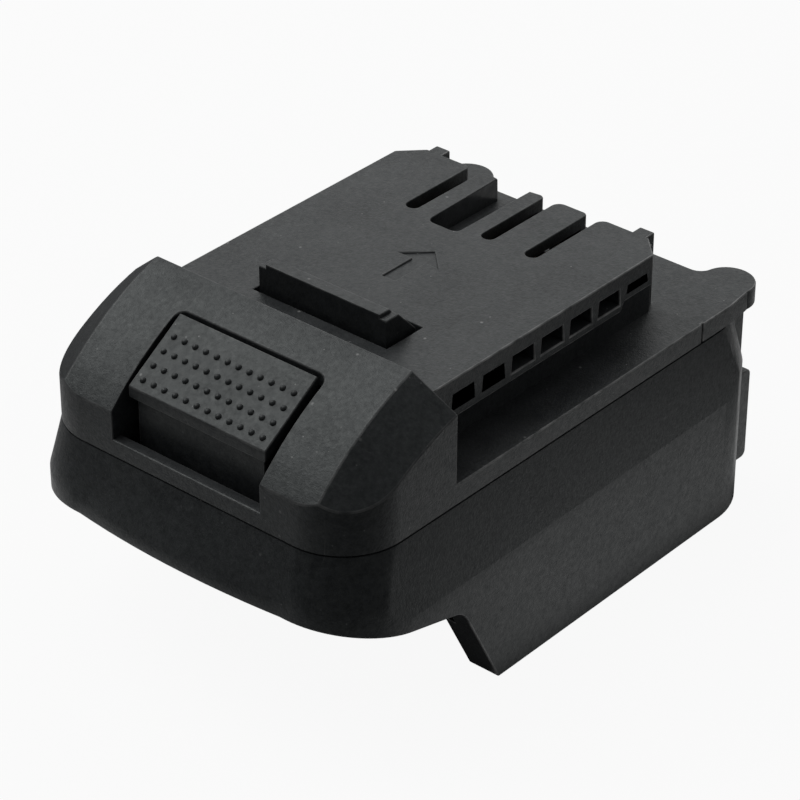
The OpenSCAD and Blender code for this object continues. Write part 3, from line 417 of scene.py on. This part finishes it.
def welded_copy(node):
    """A closed bmesh of a CAD node, with its flat faces joined up."""
    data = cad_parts[node].data.copy()
    for layer in ("custom_normal", "sharp_edge", "sharp_face"):
        if layer in data.attributes:
            data.attributes.remove(data.attributes[layer])
    mesh = bmesh.new()
    mesh.from_mesh(data)
    bpy.data.meshes.remove(data)
    bmesh.ops.remove_doubles(mesh, verts=mesh.verts, dist=WELD)
    bmesh.ops.dissolve_limit(
        mesh, angle_limit=FLAT_TURN, verts=mesh.verts, edges=mesh.edges)
    for layer in ("rubbed_and_highlit_edge", "level_face"):
        mesh.faces.layers.float.new(layer)
    return mesh


mouldings = {node: welded_copy(node) for node in ("upper_shell", "lower_shell", "latch_button")}
shelter = [BVHTree.FromBMesh(mesh) for mesh in mouldings.values()]
print("welded:", {node: len(mesh.faces) for node, mesh in mouldings.items()})

# %% [markdown]
# ## Broken edges
# On a real moulding every edge has a small round, which catches the light as a fine line. The
# Bevel modifier could break every edge at once, but hidden ribs would get rounds too. So each
# edge is tried first: it is bevelled if it is sharp, stands out, and can be seen from somewhere
# round the object. Hair-short edges would spoil a bevel, so they are closed first. The edges of
# the parting line stay sharp, as two mouldings that meet are. The new faces are marked for a pale
# edge colour that is partly wear and partly a painted highlight: fully along the sides behind the
# hump, where a tool slides on and off, and a little elsewhere. Faces that look up are marked as
# well, because dust settles on them, and for a paler film that is partly painted light.

# %% Broken edges
EDGE_ROUND = 0.3 * MM
HAIR = 0.16 * MM
SHARP_TURN = math.radians(28)
PARTING_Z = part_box("upper_shell")[0].z
PARTING_KEEP = 0.6 * MM
# Where the pale edges, partly wear and partly a painted highlight, are full, and their share elsewhere
WORN_AND_HIGHLIT_FROM = -31 * MM
WORN_AND_HIGHLIT_SIDE = 20 * MM
LITTLE_WORN_AND_HIGHLIT = 0.25
STEP_OFF = 0.15 * MM
CLEAR_OF_FACE = 0.05
LEVEL_NORMAL = 0.75
lookouts = [
    Vector((x, y, z)).normalized()
    for x in (-1, 0, 1) for y in (-1, 0, 1) for z in (-1, 0, 1) if (x, y, z) != (0, 0, 0)
]


def can_be_seen(edge):
    """True if a straight way out leads from the edge past all three mouldings."""
    outwards = (edge.link_faces[0].normal + edge.link_faces[1].normal).normalized()
    start = (edge.verts[0].co + edge.verts[1].co) / 2 + outwards * STEP_OFF
    ways = [way for way in lookouts if way.dot(outwards) > CLEAR_OF_FACE]
    return any(all(tree.ray_cast(start, way)[0] is None for tree in shelter) for way in ways)


def on_parting_line(edge):
    """True if both ends of the edge lie along the parting line."""
    return all(abs(vert.co.z - PARTING_Z) < PARTING_KEEP for vert in edge.verts)


def outer_edges(mesh):
    """The sharp, outward edges that can be seen."""
    mesh.normal_update()
    return [
        edge for edge in mesh.edges
        if edge.is_manifold and edge.is_convex
        and edge.calc_face_angle() > SHARP_TURN
        and not on_parting_line(edge) and can_be_seen(edge)
    ]


def break_edges(mesh):
    """Closes hair-short outer edges, then bevels the rest and marks the new faces."""
    short = [edge for edge in outer_edges(mesh) if edge.calc_length() < HAIR]
    bmesh.ops.collapse(mesh, edges=short)
    chosen = outer_edges(mesh)
    made = bmesh.ops.bevel(
        mesh, geom=chosen, offset=EDGE_ROUND, offset_type="OFFSET", segments=2, profile=0.5,
        affect="EDGES", clamp_overlap=False, material=-1)
    mesh.normal_update()
    # Faces that look up carry dust specks and the paler film, which is partly painted light
    level = mesh.faces.layers.float["level_face"]
    for face in mesh.faces:
        face[level] = 1 if face.normal.z > LEVEL_NORMAL else 0
    # Marks the bevel faces for the pale edge colour, partly wear and partly a painted highlight
    rubbed_and_highlit = mesh.faces.layers.float["rubbed_and_highlit_edge"]
    for face in made["faces"]:
        middle = face.calc_center_median()
        face[rubbed_and_highlit] = 1 if middle.y > WORN_AND_HIGHLIT_FROM and abs(middle.x) > WORN_AND_HIGHLIT_SIDE else LITTLE_WORN_AND_HIGHLIT
    print("broke", len(chosen), "edges after closing", len(short), "into", len(made["faces"]), "faces")


for moulding in mouldings.values():
    break_edges(moulding)

# %% [markdown]
# ## The three mouldings
# Each finished mesh becomes a piece that rides on its CAD body and stands for its CAD node. Flat
# faces next to a narrow bevel shade best with weighted normals, which keep the wide faces flat
# and let only the bevel turn.

# %% Mouldings
SMOOTH_TURN = math.radians(38)


def finish_moulding(node, name, body, finish):
    """Makes the piece that stands for a CAD node."""
    data = bpy.data.meshes.new(name)
    mouldings[node].to_mesh(data)
    mouldings[node].free()
    data.materials.clear()
    data.materials.append(finish)
    data.shade_smooth()
    data.set_sharp_from_angle(angle=SMOOTH_TURN)
    piece = bpy.data.objects.new(name, data)
    scene.collection.objects.link(piece)
    weighted = piece.modifiers.new("even_shading", "WEIGHTED_NORMAL")
    weighted.keep_sharp = True
    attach(piece, body)
    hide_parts(node)
    print(name, "has", len(data.polygons), "faces")


finish_moulding("upper_shell", "upper_moulding", "case", case_finish)
finish_moulding("lower_shell", "lower_moulding", "case", skirt_finish)
finish_moulding("latch_button", "latch_moulding", "latch", button_finish)

# %% [markdown]
# ## The floor
# The adapter stands on white paper. The paper shows the shadow, and turns towards white where
# the camera looks straight at it. What the plastic's sheen sees of it is a painted glow: a painted
# shadow under the case, a painted pool of light round it, and painted shade that makes it dimmer
# further off and at the front right, as under any one lamp that stands behind.

# %% Floor
FLOOR_HALF = 6
FLOOR_DROP = 0.1 * MM
FLOOR_WHITE = 0.93
# Brightness of the paper's painted parts: painted shadow under the case, painted pool of light, far paper
# and painted shade at the front right
PAINTED_SHADOW_UNDER_CASE, PAINTED_POOL_OF_LIGHT, FAR_OFF, PAINTED_FRONT_SHADE = 0.03, 0.86, 0.1, 0.15
# Where the painted shadow, the painted pool of light and the painted lit side each start and stop changing
CASE_EDGE, POOL_EDGE, FRONT_EDGE = (39 * MM, 46 * MM), (80 * MM, 145 * MM), (30 * MM, 110 * MM)
# How much of a distance along the case counts, because it is longer than it is wide
LENGTH_SHARE = 0.68
FRONT_RIGHT = (0.65, -0.75, 0)

paper = bmesh.new()
bmesh.ops.create_grid(paper, x_segments=1, y_segments=1, size=FLOOR_HALF)
bmesh.ops.translate(paper, verts=paper.verts, vec=(0, 0, -FLOOR_DROP))
paper_data = bpy.data.meshes.new("paper_floor")
paper.to_mesh(paper_data)
paper.free()
floor = bpy.data.objects.new("paper_floor", paper_data)
scene.collection.objects.link(floor)

paper_look, tree, shader, place = start_material("paper")
fibres = noise(tree, place, 900, 3)
tree.links.new(tint(tree, fibres, grey(0.42), grey(0.46)), shader.inputs["Base Color"])
shader.inputs["Roughness"].default_value = 0.9
rays = add_node(tree, "ShaderNodeLightPath").outputs
squashed = add_node(
    tree, "ShaderNodeVectorMath", {"operation": "MULTIPLY"},
    {0: place, 1: (1, LENGTH_SHARE, 1)}).outputs["Vector"]
distance = add_node(tree, "ShaderNodeVectorMath", {"operation": "LENGTH"}, {0: squashed}).outputs["Value"]
sides = add_node(tree, "ShaderNodeSeparateXYZ", inputs={0: squashed}).outputs
from_case = combine(
    tree, "MAXIMUM", combine(tree, "ABSOLUTE", sides["X"], 0), combine(tree, "ABSOLUTE", sides["Y"], 0))
# Painted shadow under the case and painted pool of light round it, seen in reflections
painted_shadow_and_pool = combine(
    tree, "MINIMUM", spread(tree, from_case, PAINTED_SHADOW_UNDER_CASE, PAINTED_POOL_OF_LIGHT, *CASE_EDGE),
    spread(tree, distance, PAINTED_POOL_OF_LIGHT, FAR_OFF, *POOL_EDGE))
# Painted shade towards the front right
forwards = add_node(
    tree, "ShaderNodeVectorMath", {"operation": "DOT_PRODUCT"},
    {0: place, 1: FRONT_RIGHT}).outputs["Value"]
painted_reflected_light = combine(tree, "MULTIPLY", painted_shadow_and_pool, spread(tree, forwards, 1, PAINTED_FRONT_SHADE, *FRONT_EDGE))
sheen_sees = combine(tree, "MAXIMUM", rays["Is Glossy Ray"], rays["Is Transmission Ray"])
seen = combine(tree, "MAXIMUM", rays["Is Camera Ray"], sheen_sees)
share = combine(tree, "MULTIPLY", seen, spread(tree, sheen_sees, FLOOR_WHITE, 1, 0, 1))
# Camera rays see even white; reflections see the painted shadow, pool of light and shade
strength = combine(
    tree, "MAXIMUM", rays["Is Camera Ray"], combine(tree, "MULTIPLY", sheen_sees, painted_reflected_light))
glow = add_node(tree, "ShaderNodeEmission", inputs={"Color": (1, 1, 1, 1), "Strength": strength})
both = add_node(tree, "ShaderNodeMixShader", inputs={"Fac": share})
tree.links.new(shader.outputs["BSDF"], both.inputs[1])
tree.links.new(glow.outputs["Emission"], both.inputs[2])
tree.links.new(both.outputs["Shader"], tree.nodes["Material Output"].inputs["Surface"])
paper_data.materials.append(paper_look)
print("floor is", 2 * FLOOR_HALF, "m square")

# %% [markdown]
# ## The light
# Two soft lights stand on the left: one high up, whose sheen fills the sloped front, and a
# weaker one behind, whose sheen fills the level top. The room is dim at the front right, so that
# the faces turned that way stay dark, as in the photograph.

# %% Lights
LIGHT_AIM = Vector((0, 0, 40)) * MM


def soft_light(name, way, distance, width, depth, radiance):
    """A rectangular lamp that faces the adapter and has the given brightness."""
    lamp = bpy.data.lights.new(name, "AREA")
    lamp.shape = "RECTANGLE"
    lamp.size = width
    lamp.size_y = depth
    lamp.energy = radiance * math.pi * width * depth
    light = bpy.data.objects.new(name, lamp)
    scene.collection.objects.link(light)
    light.location = LIGHT_AIM + Vector(way).normalized() * distance
    light.rotation_euler = (LIGHT_AIM - light.location).to_track_quat("-Z", "Y").to_euler()
    print(name, "gives", round(lamp.energy, 2), "W")


soft_light("high_softbox", (-0.55, -0.2, 0.81), distance=1.2, width=1.0, depth=1.1, radiance=2.9)
soft_light("rear_softbox", (-0.4, 0.72, 0.56), distance=1.3, width=1.5, depth=0.9, radiance=0.92)

# %% Room
DIM, BRIGHT = 0.18, 0.45
DIM_SIDE = (0.65, -0.75, 0.1)
world = bpy.data.worlds.new("studio")
scene.world = world
world.use_nodes = True
tree = world.node_tree
way = add_node(tree, "ShaderNodeTexCoord").outputs["Generated"]
towards_dim = add_node(
    tree, "ShaderNodeVectorMath", {"operation": "DOT_PRODUCT"},
    {0: way, 1: DIM_SIDE}).outputs["Value"]
tree.links.new(
    spread(tree, towards_dim, BRIGHT, DIM, 0, 0.9), tree.nodes["Background"].inputs["Strength"])
tree.nodes["Background"].inputs["Color"].default_value = (1, 1, 1, 1)
print("room light from", DIM, "to", BRIGHT)
